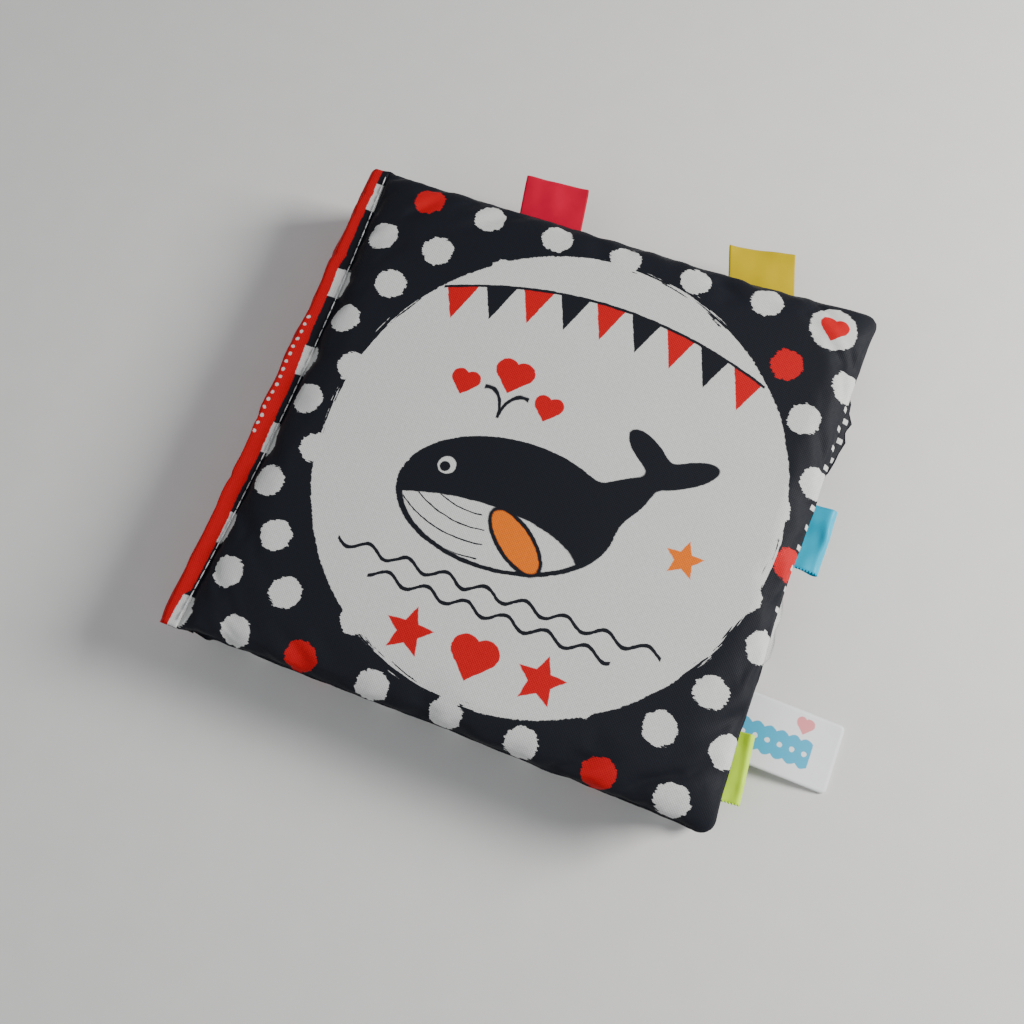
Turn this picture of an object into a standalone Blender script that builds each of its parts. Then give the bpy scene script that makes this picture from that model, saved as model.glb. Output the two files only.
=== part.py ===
"""Soft cloth picture book for a baby: two padded covers, a cloth spine, four padded leaves,
four folded ribbon tabs and a satin label.

Units are metres, +Z is up. The book lies closed on its back cover. X runs from the spine to
the fore-edge and Y from tail to head. The origin is on the table, under the middle of the
back cover. Each body's empty sits on the line that the body turns about.
"""

import math

import bmesh
import bpy

# Covers, measured from the stitched seam line beside the spine
COVER_WIDTH = 0.1568
COVER_HEIGHT = 0.155
COVER_THICKNESS = 0.0084
COVER_ROLL = 0.022  # how far in from an edge the padding reaches its full height
COVER_CORNER = 0.0045
COVER_HOLLOW = 0.0016  # how far a sewn edge pulls in between its corners
HINGE_FLAP = 0.0046  # unpadded cloth between the seam line and the fold at the spine
SEAM_BOW = 0.0028  # how far the seam line bows towards the padding at mid height

# The padding stands a hair prouder at the four corners of its plateau, and rests on them
CORNER_PROUD = 0.00002
CORNER_SHARPNESS = 8

# Leaves
LEAF_COUNT = 4
LEAF_THICKNESS = 0.0030
LEAF_FORE_INSET = 0.0010  # how much shorter than the cover at the fore-edge
LEAF_END_INSET = 0.0020  # and at head and tail
LEAF_ROLL = 0.010
LEAF_CORNER = 0.0040
LEAF_HOLLOW = 0.0010

# Cloth, seams and wadding
CLOTH = 0.00035
CLEARANCE = 0.0003
EDGE_ROOM = 0.00075  # half the room between two cloths at a turned edge, where tabs tuck in
ROOT_ROOM = 0.00015  # the same where the cloths are stitched flat beside the spine
WADDING_GAP = 0.0010  # from the tucked end of a tab to the wadding

# Spine
SPINE_BULGE = 0.0038
SPINE_END_INSET = 0.0010

# Ribbon tabs and label
RIBBON_WIDTH = 0.0208
RIBBON = 0.00025
RIBBON_SPREAD = 0.0003  # half the distance between the two legs' mid-planes at the seam
RIBBON_FOLD = 0.0007  # radius of the fold
RIBBON_TUCK = 0.0038  # length of each leg inside the seam
HEAD_TAB_REACH = 0.0187
BLUE_TAB_REACH = 0.0080
LIME_TAB_REACH = 0.0068
LABEL_WIDTH = 0.0200
LABEL_REACH = 0.0285
LABEL_THICKNESS = 0.0004
LABEL_CORNER = 0.0022

# Sewing thread
THREAD_RADIUS = 0.0002
THREAD_END_INSET = 0.0030
SEAM_SETBACK = 0.0008  # from the seam line to the stitches, on the flap side
BINDING_SETBACK = 0.0014  # from a leaf's turning line to its line of stitches

# Places of the tabs: distance of a tab's middle from the seam line, the head or the tail
RED_FROM_SEAM = 0.0533
YELLOW_FROM_SEAM = 0.1214
BLUE_FROM_HEAD = 0.0678
LIME_FROM_TAIL = 0.0205
LABEL_FROM_TAIL = 0.0335

# Where grid lines cross a rolled edge, as shares of the roll, and the plateau between rolls
ROLL_SHARES = (0.0, 0.10, 0.32, 0.62, 1.0)
PLATEAU_SHARES = (0.25, 0.5, 0.75)

# Colours of the cloths: linear red, green, blue
NIGHT_BLACK = (0.010, 0.012, 0.020)
PAPER_WHITE = (0.74, 0.76, 0.78)
WARM_RED = (0.62, 0.012, 0.015)
CRIMSON = (0.60, 0.006, 0.05)
LEMON = (0.80, 0.66, 0.01)
SKY_BLUE = (0.01, 0.37, 0.62)
LIME = (0.46, 0.72, 0.04)
FILL_WHITE = (0.85, 0.85, 0.83)

# Derived places
SEAM_X = -COVER_WIDTH / 2
HINGE_X = SEAM_X - HINGE_FLAP
BACK_Z = COVER_THICKNESS / 2
LEAF_PITCH = LEAF_THICKNESS + CLEARANCE
LOWEST_LEAF_Z = COVER_THICKNESS + CLEARANCE + LEAF_THICKNESS / 2
FRONT_Z = LOWEST_LEAF_Z + LEAF_PITCH * LEAF_COUNT - LEAF_THICKNESS / 2 + COVER_THICKNESS / 2
ROOT_HALF = ROOT_ROOM + CLOTH
AXIS_ROOM = ROOT_HALF + CLEARANCE
LEAF_AXIS_X = HINGE_X + CLOTH + AXIS_ROOM
SPINE_HEIGHT = FRONT_Z - BACK_Z
WADDING_INSET = RIBBON_TUCK + WADDING_GAP


def clear_scene():
    for thing in list(bpy.data.objects):
        bpy.data.objects.remove(thing, do_unlink=True)


def make_collection(name):
    collection = bpy.data.collections.new(name)
    bpy.context.scene.collection.children.link(collection)
    return collection


def cloth_material(name, colour, roughness=0.75, sheen=0.2):
    material = bpy.data.materials.new(name)
    material.use_nodes = True
    shader = material.node_tree.nodes["Principled BSDF"]
    shader.inputs["Base Color"].default_value = (*colour, 1.0)
    shader.inputs["Roughness"].default_value = roughness
    shader.inputs["Metallic"].default_value = 0.0
    shader.inputs["Sheen Weight"].default_value = sheen
    material.diffuse_color = (*colour, 1.0)
    return material


def make_axis(name, parent, x, z):
    """An empty on a turning line, which runs along Y through world (x, z)."""
    axis = bpy.data.objects.new(name, None)
    axis.empty_display_type = "SINGLE_ARROW"
    axis.empty_display_size = SPINE_HEIGHT
    BOOK.objects.link(axis)
    axis["world"] = (x, 0.0, z)
    px, _, pz = parent["world"] if parent else (0.0, 0.0, 0.0)
    axis.parent = parent
    axis.location = (x - px, 0.0, z - pz)
    return axis


def add_node(name, mesh, material, axis):
    """A piece that is modelled round its axis, parented to that axis."""
    node = bpy.data.objects.new(name, mesh)
    mesh.materials.append(material)
    mesh.shade_smooth()
    mesh.set_sharp_from_angle(angle=math.radians(40))
    BOOK.objects.link(node)
    node.parent = axis
    return node


def swell(share):
    """Height of a padded edge as a share of the full height: a quarter of an ellipse."""
    share = min(max(share, 0.0), 1.0)
    return math.sqrt(1 - (1 - share) ** 2)


class Plan:
    """The outline of a padded cloth piece, seen from above, in its axis's own frame."""

    def __init__(self, root, seam, fore, height, roll, corner, hollow, bow):
        self.root = root
        self.seam = seam
        self.fore = fore
        self.height = height
        self.roll = roll
        self.corner = corner
        self.hollow = hollow
        self.bow = bow

    def inset(self, margin, seam_margin):
        """The plan of a filling that stays inside this one."""
        seam = self.seam + seam_margin
        fore = self.fore - margin
        height = self.height - 2 * margin
        corner = max(self.corner - margin, self.corner / 2)
        return Plan(seam, seam, fore, height, self.roll, corner, self.hollow, self.bow)

    def lines_x(self):
        flap = [self.root] if self.root < self.seam else []
        rise = [self.seam + share * self.roll for share in ROLL_SHARES]
        flat = self.fore - self.seam - 2 * self.roll
        middle = [rise[-1] + share * flat for share in PLATEAU_SHARES]
        fall = [self.fore - share * self.roll for share in reversed(ROLL_SHARES)]
        return flap + rise + middle + fall

    def lines_y(self):
        half = self.height / 2
        rise = [-half + share * self.roll for share in ROLL_SHARES]
        flat = self.height - 2 * self.roll
        middle = [rise[-1] + share * flat for share in PLATEAU_SHARES]
        return rise + middle + [-y for y in reversed(rise)]

    def fullness(self, x, y):
        """(rise from the seam, rise from every edge) at a point, each from 0 to 1."""
        from_seam = swell((x - self.seam) / self.roll)
        from_fore = swell((self.fore - x) / self.roll)
        from_end = swell((self.height / 2 - abs(y)) / self.roll)
        return from_seam, from_seam * from_fore * from_end

    def at_corner(self, x, y):
        """1 at the four corners of the plateau, where the filling is fullest, and near 0 between."""
        half_width = (self.fore - self.seam) / 2
        across = abs(x - self.seam - half_width) / (half_width - self.roll)
        along = abs(y) / (self.height / 2 - self.roll)
        return (min(across, 1.0) * min(along, 1.0)) ** CORNER_SHARPNESS

    def place(self, x, y):
        """Where a point of the straight grid lies once corners, edges and seam are shaped."""
        half = self.height / 2
        a = 1 - (self.fore - x) / self.corner
        b = 1 - (half - abs(y)) / self.corner
        if a > 0 and b > 0:
            x -= self.corner * a * (1 - math.sqrt(1 - b * b / 2))
            y -= math.copysign(self.corner * b * (1 - math.sqrt(1 - a * a / 2)), y)
        across = min(max((x - self.seam) / (self.fore - self.seam), 0.0), 1.0)
        along = max(1 - (y / half) ** 2, 0.0)
        if x < self.seam:
            near_seam = (x - self.root) / (self.seam - self.root)
        else:
            near_seam = max(1 - (x - self.seam) / self.roll, 0.0)
        new_x = x - self.hollow * along * across**2 + self.bow * along * near_seam
        new_y = y * (1 - self.hollow / half * 4 * across * (1 - across))
        return new_x, new_y


def shaped_grid(name, plan, height_at, side):
    """A grid over the plan, raised to height_at(x, y). side is 1 for an upper face, -1 for a lower."""
    xs = plan.lines_x()
    ys = plan.lines_y()
    grid = bmesh.new()
    bmesh.ops.create_grid(grid, x_segments=len(xs) - 1, y_segments=len(ys) - 1, size=1.0)
    for vertex in grid.verts:
        x = xs[round((vertex.co.x + 1) / 2 * (len(xs) - 1))]
        y = ys[round((vertex.co.y + 1) / 2 * (len(ys) - 1))]
        vertex.co = (*plan.place(x, y), side * height_at(x, y))
    if side < 0:
        bmesh.ops.reverse_faces(grid, faces=grid.faces)
    mesh = bpy.data.meshes.new(name)
    grid.to_mesh(mesh)
    grid.free()
    return mesh


def add_cloth(node, thickness=CLOTH):
    """Gives an open surface its cloth's thickness, on its outer side."""
    solidify = node.modifiers.new("cloth", "SOLIDIFY")
    solidify.thickness = thickness
    solidify.offset = 1.0
    solidify.use_even_offset = False
    return node


def panel(name, plan, thickness, side, material, axis):
    """One printed cloth face of a padded piece."""
    full = thickness / 2 - CLOTH

    def height_at(x, y):
        from_seam, from_edges = plan.fullness(x, y)
        rim = ROOT_ROOM + (EDGE_ROOM - ROOT_ROOM) * from_seam
        return rim + (full + CORNER_PROUD * plan.at_corner(x, y) - rim) * from_edges

    return add_cloth(add_node(name, shaped_grid(name, plan, height_at, side), material, axis))


def wadding(name, plan, thickness, material, axis):
    """The filling between two cloth faces: a half with its rim on the mid-plane, mirrored."""
    inner = plan.inset(WADDING_INSET, WADDING_INSET)
    full = thickness / 2 - CLOTH - CLEARANCE

    def height_at(x, y):
        return full * inner.fullness(x, y)[1]

    node = add_node(name, shaped_grid(name, inner, height_at, 1), material, axis)
    mirror = node.modifiers.new("other half", "MIRROR")
    mirror.use_axis = (False, False, True)
    mirror.merge_threshold = CLEARANCE / 10
    return node


def add_cover(prefix, outer_side, axis):
    """A padded cover, in the frame of its fold line."""
    seam = HINGE_FLAP
    plan = Plan(
        0.0, seam, seam + COVER_WIDTH, COVER_HEIGHT, COVER_ROLL, COVER_CORNER, COVER_HOLLOW, SEAM_BOW
    )
    panel(f"{prefix}_outer_cloth", plan, COVER_THICKNESS, outer_side, BLACK_CLOTH, axis)
    panel(f"{prefix}_inner_cloth", plan, COVER_THICKNESS, -outer_side, WHITE_CLOTH, axis)
    wadding(f"{prefix}_wadding", plan, COVER_THICKNESS, FILLING, axis)
    return plan


def add_leaf(number, axis):
    """A padded leaf, in the frame of its turning line at the spine."""
    seam = SEAM_X - LEAF_AXIS_X
    fore = seam + COVER_WIDTH - LEAF_FORE_INSET
    height = COVER_HEIGHT - 2 * LEAF_END_INSET
    plan = Plan(0.0, seam, fore, height, LEAF_ROLL, LEAF_CORNER, LEAF_HOLLOW, 0.0)
    prefix = f"leaf_{number}"
    panel(f"{prefix}_upper_cloth", plan, LEAF_THICKNESS, 1, WHITE_CLOTH, axis)
    panel(f"{prefix}_lower_cloth", plan, LEAF_THICKNESS, -1, BLACK_CLOTH, axis)
    wadding(f"{prefix}_wadding", plan, LEAF_THICKNESS, FILLING, axis)
    thread(f"{prefix}_binding_thread", BINDING_SETBACK, height, 0.0, ROOT_HALF, 1, WHITE_THREAD, axis)
    return plan


def thread(name, x, height, bow, surface, side, material, axis):
    """A line of sewing thread on a cloth face, along the spine side."""
    curve = bpy.data.curves.new(name, "CURVE")
    curve.dimensions = "3D"
    curve.bevel_depth = THREAD_RADIUS
    curve.bevel_resolution = 1
    curve.use_fill_caps = True
    spline = curve.splines.new("POLY")
    half = height / 2 - THREAD_END_INSET
    count = len(ROLL_SHARES) + len(PLATEAU_SHARES)
    spline.points.add(count - 1)
    z = side * (surface + CLEARANCE + THREAD_RADIUS)
    for index, point in enumerate(spline.points):
        share = 2 * index / (count - 1) - 1
        y = half * share
        point.co = (x + bow * (1 - share**2), y, z, 1.0)
    node = bpy.data.objects.new(name, curve)
    curve.materials.append(material)
    BOOK.objects.link(node)
    node.parent = axis
    return node


def ribbon_path(reach):
    """(distance from the edge, height) along a folded ribbon, seen end on: out, round and back."""
    fold_steps = 6
    straight = reach - RIBBON_FOLD
    points = [(-RIBBON_TUCK, RIBBON_SPREAD), (0.0, RIBBON_SPREAD)]
    for step in range(fold_steps + 1):
        angle = math.pi / 2 - math.pi * step / fold_steps
        points.append((straight + RIBBON_FOLD * math.cos(angle), RIBBON_FOLD * math.sin(angle)))
    return points + [(0.0, -RIBBON_SPREAD), (-RIBBON_TUCK, -RIBBON_SPREAD)]


def ribbon_tab(name, reach, edge, middle, at_head, material, axis):
    """A satin ribbon folded in two, its ends tucked between the cloths at an edge."""
    path = ribbon_path(reach)
    grid = bmesh.new()
    bmesh.ops.create_grid(grid, x_segments=len(path) - 1, y_segments=1, size=1.0)
    for vertex in grid.verts:
        out, height = path[round((vertex.co.x + 1) / 2 * (len(path) - 1))]
        across = vertex.co.y * RIBBON_WIDTH / 2
        if at_head:
            vertex.co = (middle - across, edge + out, height)
        else:
            vertex.co = (edge + out, middle + across, height)
    mesh = bpy.data.meshes.new(name)
    grid.to_mesh(mesh)
    grid.free()
    node = add_node(name, mesh, material, axis)
    add_cloth(node, RIBBON).modifiers["cloth"].offset = 0.0
    return node


def side_label(name, edge, middle, material, axis):
    """A flat satin label with two rounded corners, its plain end tucked into the edge."""
    half = LABEL_WIDTH / 2
    outer = edge + LABEL_REACH
    corner_steps = 4
    outline = [(edge - RIBBON_TUCK, -half)]
    for turn, sign in ((0, -1), (1, 1)):
        for step in range(corner_steps + 1):
            angle = (step / corner_steps + turn - 1) * math.pi / 2
            x = outer - LABEL_CORNER + LABEL_CORNER * math.cos(angle)
            y = sign * (half - LABEL_CORNER) + LABEL_CORNER * math.sin(angle)
            outline.append((x, y))
    outline.append((edge - RIBBON_TUCK, half))
    curve = bpy.data.curves.new(name, "CURVE")
    curve.dimensions = "2D"
    curve.fill_mode = "BOTH"
    curve.extrude = LABEL_THICKNESS / 2
    spline = curve.splines.new("POLY")
    spline.points.add(len(outline) - 1)
    for point, (x, y) in zip(spline.points, outline):
        point.co = (x, middle + y, 0.0, 1.0)
    spline.use_cyclic_u = True
    curve.materials.append(material)
    node = bpy.data.objects.new(name, curve)
    BOOK.objects.link(node)
    node.parent = axis
    return node


def add_spine(axis):
    """The bulging cloth strip between the fold lines, and the flat lining that holds the leaves."""
    half_length = COVER_HEIGHT / 2 - SPINE_END_INSET
    foot = AXIS_ROOM
    rise = SPINE_HEIGHT - 2 * foot
    arc_steps = 10
    depth = SPINE_BULGE - CLOTH - CLEARANCE
    strip = bmesh.new()
    bmesh.ops.create_grid(strip, x_segments=arc_steps, y_segments=1, size=1.0)
    for vertex in strip.verts:
        angle = math.pi * (vertex.co.x + 1) / 2
        out = CLEARANCE + depth * math.sin(angle)
        vertex.co = (-out, vertex.co.y * half_length, foot + rise * (1 - math.cos(angle)) / 2)
    mesh = bpy.data.meshes.new("spine_strip")
    strip.to_mesh(mesh)
    strip.free()
    add_cloth(add_node("spine_strip", mesh, RED_CLOTH, axis))

    flat = bmesh.new()
    bmesh.ops.create_cube(flat, size=1.0)
    for vertex in flat.verts:
        x, y, z = vertex.co
        vertex.co = (CLOTH * (x + 0.5), 2 * half_length * y, SPINE_HEIGHT / 2 + rise * z)
    mesh = bpy.data.meshes.new("spine_lining")
    flat.to_mesh(mesh)
    flat.free()
    add_node("spine_lining", mesh, BLACK_CLOTH, axis)


def fore_edge_at(plan, y):
    """Distance of the fore-edge from the axis at one height of the page."""
    return plan.place(plan.fore, y)[0]


def head_edge_at(plan, x):
    """Distance of the head edge from mid height, at one distance from the axis."""
    return plan.place(x, plan.height / 2)[1]


clear_scene()
BOOK = make_collection("cloth_book")
BLACK_CLOTH = cloth_material("black printed cloth", NIGHT_BLACK)
WHITE_CLOTH = cloth_material("white printed cloth", PAPER_WHITE)
RED_CLOTH = cloth_material("red printed cloth", WARM_RED)
FILLING = cloth_material("white wadding", FILL_WHITE, roughness=0.95)
WHITE_THREAD = cloth_material("white thread", PAPER_WHITE, roughness=0.6)
CRIMSON_SATIN = cloth_material("crimson satin", CRIMSON, roughness=0.35)
LEMON_SATIN = cloth_material("lemon satin", LEMON, roughness=0.35)
BLUE_SATIN = cloth_material("blue satin", SKY_BLUE, roughness=0.35)
LIME_SATIN = cloth_material("lime satin", LIME, roughness=0.35)
LABEL_SATIN = cloth_material("white satin", PAPER_WHITE, roughness=0.4)

back_axis = make_axis("back_cover", None, HINGE_X, BACK_Z)
spine_axis = make_axis("spine", back_axis, HINGE_X, BACK_Z)
front_axis = make_axis("front_cover", spine_axis, HINGE_X, FRONT_Z)

back_plan = add_cover("back_cover", -1, back_axis)
add_spine(spine_axis)
front_plan = add_cover("front_cover", 1, front_axis)
stitch_x = front_plan.seam - SEAM_SETBACK
thread("front_seam_thread", stitch_x, COVER_HEIGHT, SEAM_BOW, ROOT_HALF, 1, WHITE_THREAD, front_axis)
thread("back_seam_thread", stitch_x, COVER_HEIGHT, SEAM_BOW, ROOT_HALF, -1, WHITE_THREAD, back_axis)

leaf_axes = {}
for leaf_number in range(1, LEAF_COUNT + 1):
    leaf_z = LOWEST_LEAF_Z + (LEAF_COUNT - leaf_number) * LEAF_PITCH
    leaf_axes[leaf_number] = make_axis(f"leaf_{leaf_number}", spine_axis, LEAF_AXIS_X, leaf_z)
    leaf_plan = add_leaf(leaf_number, leaf_axes[leaf_number])

red_x = leaf_plan.seam + RED_FROM_SEAM
yellow_x = leaf_plan.seam + YELLOW_FROM_SEAM
head_edge = head_edge_at(leaf_plan, red_x)
ribbon_tab("red_ribbon_tab", HEAD_TAB_REACH, head_edge, red_x, True, CRIMSON_SATIN, leaf_axes[1])
head_edge = head_edge_at(leaf_plan, yellow_x)
ribbon_tab("yellow_ribbon_tab", HEAD_TAB_REACH, head_edge, yellow_x, True, LEMON_SATIN, leaf_axes[2])
blue_y = COVER_HEIGHT / 2 - BLUE_FROM_HEAD
lime_y = LIME_FROM_TAIL - COVER_HEIGHT / 2
label_y = LABEL_FROM_TAIL - COVER_HEIGHT / 2
fore_edge = fore_edge_at(leaf_plan, blue_y)
ribbon_tab("blue_ribbon_tab", BLUE_TAB_REACH, fore_edge, blue_y, False, BLUE_SATIN, leaf_axes[1])
fore_edge = fore_edge_at(leaf_plan, lime_y)
ribbon_tab("lime_ribbon_tab", LIME_TAB_REACH, fore_edge, lime_y, False, LIME_SATIN, leaf_axes[3])
fore_edge = fore_edge_at(back_plan, label_y)
side_label("side_label", fore_edge, label_y, LABEL_SATIN, back_axis)
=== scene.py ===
"""A soft cloth picture book for a baby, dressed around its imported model.

Metres, +Z up, in the model's own frame: the closed book lies on its back cover, X runs from the
spine to the fore-edge and Y from tail to head. Prints are laid out in millimetres on the cloth.
"""

import math
from dataclasses import dataclass

import bpy
import numpy as np
from mathutils import Matrix, Vector, noise


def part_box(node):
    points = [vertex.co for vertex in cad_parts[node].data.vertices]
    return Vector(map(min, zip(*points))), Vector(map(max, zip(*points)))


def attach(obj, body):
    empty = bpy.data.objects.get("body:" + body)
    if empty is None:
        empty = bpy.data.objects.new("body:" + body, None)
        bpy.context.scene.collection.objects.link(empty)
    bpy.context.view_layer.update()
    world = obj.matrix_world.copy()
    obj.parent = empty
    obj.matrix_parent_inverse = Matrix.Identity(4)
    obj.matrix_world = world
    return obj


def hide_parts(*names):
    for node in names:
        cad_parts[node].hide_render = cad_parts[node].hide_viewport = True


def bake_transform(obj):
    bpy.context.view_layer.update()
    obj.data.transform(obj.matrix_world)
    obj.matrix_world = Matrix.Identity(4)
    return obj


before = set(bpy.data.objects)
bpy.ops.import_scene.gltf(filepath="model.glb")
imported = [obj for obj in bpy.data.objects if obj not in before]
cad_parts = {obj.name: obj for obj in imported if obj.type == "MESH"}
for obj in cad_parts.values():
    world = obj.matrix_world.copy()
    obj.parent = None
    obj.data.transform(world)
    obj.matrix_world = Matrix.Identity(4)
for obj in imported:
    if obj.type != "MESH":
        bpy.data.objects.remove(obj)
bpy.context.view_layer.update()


# Camera and light: the camera stands where the photograph was taken, nearly overhead and turned
# a little. A soft light the size of a small window comes from the fore-edge side.
def stand(name, data):
    """Puts a new object into the scene, made of this camera, light or mesh."""
    thing = bpy.data.objects.new(name, data)
    bpy.context.scene.collection.objects.link(thing)
    return thing


camera_data = bpy.data.cameras.new("camera")
camera_data.sensor_width = 36.0
camera_data.lens = 38.285
camera_data.clip_start = 0.01
camera = stand("camera", camera_data)
camera.location = (0.052687, -0.085607, 0.321044)
camera.rotation_euler = [math.radians(turn) for turn in (16.4134, 4.7622, 21.3072)]
bpy.context.scene.camera = camera


def soft_light(name, place, size, power, warmth):
    """A square panel of soft light that faces the book."""
    data = bpy.data.lights.new(name, "AREA")
    data.shape = "SQUARE"
    data.size = size
    data.energy = power
    data.color = warmth
    lamp = stand(name, data)
    lamp.location = place
    lamp.rotation_euler = Vector(place).to_track_quat("Z", "Y").to_euler()


soft_light("window light", (0.56, 0.24, 0.40), 0.26, 7.9, (1.0, 0.99, 0.965))
soft_light("room light", (-0.30, -0.50, 0.90), 0.90, 2.6, (0.96, 0.98, 1.0))

world = bpy.data.worlds.new("room")
world.use_nodes = True
world.node_tree.nodes["Background"].inputs["Color"].default_value = (0.92, 0.95, 1.0, 1.0)
world.node_tree.nodes["Background"].inputs["Strength"].default_value = 0.26
bpy.context.scene.world = world


# Covers: each is two cuts of printed cotton, sewn face to face round three sides, turned out and
# filled with a flat pad, then stitched through beside the spine, which leaves a flat flap there.
COVER_SEAM = -0.0784
COVER_FORE = 0.0784
COVER_HALF = 0.0775  # half of its height, from tail to head
SEAM_BOW = 0.0028  # how far the seam line bows towards the fore-edge at its middle
FORE_HOLLOW = 0.0008  # how far the free edges are drawn in at their middle
FLAP_TAPER = 0.011  # the share by which the flap is shorter at the fold
FOLD_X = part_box("front_cover_outer_cloth")[0].x
BACK_MIDDLE = 0.0042
FRONT_MIDDLE = 0.0261
PRINT_LEFT = -0.0796
PRINT_SIDE = 155.0  # a print is laid out on a square of this side, and drawn out to the cover's width


class Stencil:
    """Cuts and paints a print with shader nodes. Sums and masks are given back as node outputs."""

    def __init__(self, tree):
        self.tree = tree

    def put(self, kind, **settings):
        node = self.tree.nodes.new("ShaderNode" + kind)
        for name, value in settings.items():
            setattr(node, name, value)
        return node

    def feed(self, node, *values, **named):
        """Feeds a node's inputs, in their order or by their names with _ for a space."""
        sockets = [*zip(node.inputs, values)]
        sockets += [(node.inputs[name.replace("_", " ")], value) for name, value in named.items()]
        for socket, value in sockets:
            if isinstance(value, bpy.types.NodeSocket):
                self.tree.links.new(value, socket)
            else:
                socket.default_value = value
        return node

    def calc(self, operation, *values):
        return self.feed(self.put("Math", operation=operation), *values).outputs[0]

    def move(self, operation, *values, **named):
        """A sum of vectors, such as places on the cloth."""
        return self.feed(self.put("VectorMath", operation=operation), *values, **named).outputs[0]

    def ramp(self, value, slope, start):
        return self.calc("MULTIPLY_ADD", value, slope, start)

    def times(self, value, factor):
        return self.calc("MULTIPLY", value, factor)

    def plus(self, value, more):
        return self.calc("ADD", value, more)

    def minus(self, value, less):
        return self.calc("SUBTRACT", value, less)

    def sides(self, point):
        """The two distances, across and down, of a point on the cloth."""
        node = self.feed(self.put("SeparateXYZ"), point)
        return node.outputs[0], node.outputs[1]

    def join(self, across, down):
        return self.feed(self.put("CombineXYZ"), across, down).outputs[0]

    def fleck(self, point, pitch, detail=2.0):
        """Soft random grey from 0 to 1, with spots about one pitch apart."""
        node = self.put("TexNoise", noise_dimensions="2D")
        return self.feed(node, Vector=point, Scale=1.0 / pitch, Detail=detail).outputs["Fac"]

    def within(self, distance, limit, soft=0.16):
        """1 where the distance is under the limit, 0 where it is over."""
        if isinstance(limit, bpy.types.NodeSocket):
            distance, limit = self.minus(distance, limit), 0.0
        step = self.put("MapRange", interpolation_type="SMOOTHSTEP")
        self.feed(step, Value=distance, From_Min=limit - soft, From_Max=limit + soft)
        return self.feed(step, To_Min=1.0, To_Max=0.0).outputs[0]

    def reach(self, point, across, down, wide=1.0, tall=1.0, turn=0.0):
        """Distance from a centre, counted in radii of the oval wide by tall, turned in degrees."""
        place = self.put("Mapping", vector_type="TEXTURE")
        self.feed(place, point, Location=(across, down, 0.0), Scale=(wide, tall, 1.0))
        self.feed(place, Rotation=(0.0, 0.0, math.radians(turn)))
        length = self.put("VectorMath", operation="LENGTH")
        return self.feed(length, place.outputs[0]).outputs["Value"]

    def far(self, across, down):
        return self.calc("SQRT", self.plus(self.times(across, across), self.times(down, down)))

    def near(self, value, middle, half, soft=0.16):
        """1 where the value is within half of the middle, on either side."""
        return self.within(self.calc("ABSOLUTE", self.minus(value, middle)), half, soft)

    def oval(self, point, across, down, wide, tall, turn=0.0):
        distance = self.reach(point, across, down, wide, tall, turn)
        return self.within(distance, 1.0, 0.16 / min(wide, tall))

    def either(self, *masks):
        whole = masks[0]
        for mask in masks[1:]:
            whole = self.calc("MAXIMUM", whole, mask)
        return whole

    def both(self, *masks):
        whole = masks[0]
        for mask in masks[1:]:
            whole = self.times(whole, mask)
        return whole

    def less(self, mask, cut):
        return self.times(mask, self.minus(1.0, cut))

    def paint(self, ground, colour, mask):
        """The ground, overprinted with a colour where the mask is 1."""
        node = self.put("Mix", data_type="RGBA")
        return self.feed(node, Factor=mask, A=ground, B=colour).outputs["Result"]

    def stamp(self, group, **values):
        """Places a node group and feeds its inputs by name."""
        node = self.feed(self.put("Group", node_tree=group), **values)
        return node.outputs[0] if len(node.outputs) == 1 else tuple(node.outputs)


def new_material(name):
    """A new material, its stencil and its shader."""
    material = bpy.data.materials.new(name)
    material.use_nodes = True
    return material, Stencil(material.node_tree), material.node_tree.nodes["Principled BSDF"]


def effect(name, inputs, outputs):
    """An empty node group with its sockets: (its stencil, its inputs by name, its output node)."""
    group = bpy.data.node_groups.new(name, "ShaderNodeTree")
    kinds = {"Point": "NodeSocketVector", "Shifted": "NodeSocketVector"}
    for side, titles in (("INPUT", inputs), ("OUTPUT", outputs)):
        for title in titles:
            kind = kinds.get(title, "NodeSocketFloat")
            group.interface.new_socket(name=title, in_out=side, socket_type=kind)
    start = group.nodes.new("NodeGroupInput")
    end = group.nodes.new("NodeGroupOutput")
    return Stencil(group), {socket.name: socket for socket in start.outputs if socket.name}, end


def woven_cloth():
    """Fine plain weave seen on the bias: thread height, and the slight shade of each thread, which is
    painted shade where the threads dip, with the random tone of slubs.
    """
    s, given, end = effect("woven cloth", ["Point", "Pitch"], ["Height", "Shade"])
    across, down = s.sides(given["Point"])
    turn = s.calc("DIVIDE", math.tau, given["Pitch"])
    warp = s.calc("SINE", s.times(s.plus(across, down), turn))
    weft = s.calc("SINE", s.times(s.minus(across, down), turn))
    threads = s.ramp(s.plus(warp, weft), 0.2, 0.5)
    slubs = s.fleck(given["Point"], 0.9, 3.0)
    s.feed(end, Height=s.ramp(slubs, 0.5, threads))
    cloud = s.fleck(given["Point"], 22.0, 2.0)
    # Painted shade: the colour darkens where the threads dip, and slubs and a faint cloud add random
    # tone
    shade = s.ramp(threads, 0.36, s.ramp(slubs, 0.18, 0.69))
    s.feed(end, Shade=s.ramp(cloud, 0.05, shade))
    return s.tree


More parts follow.
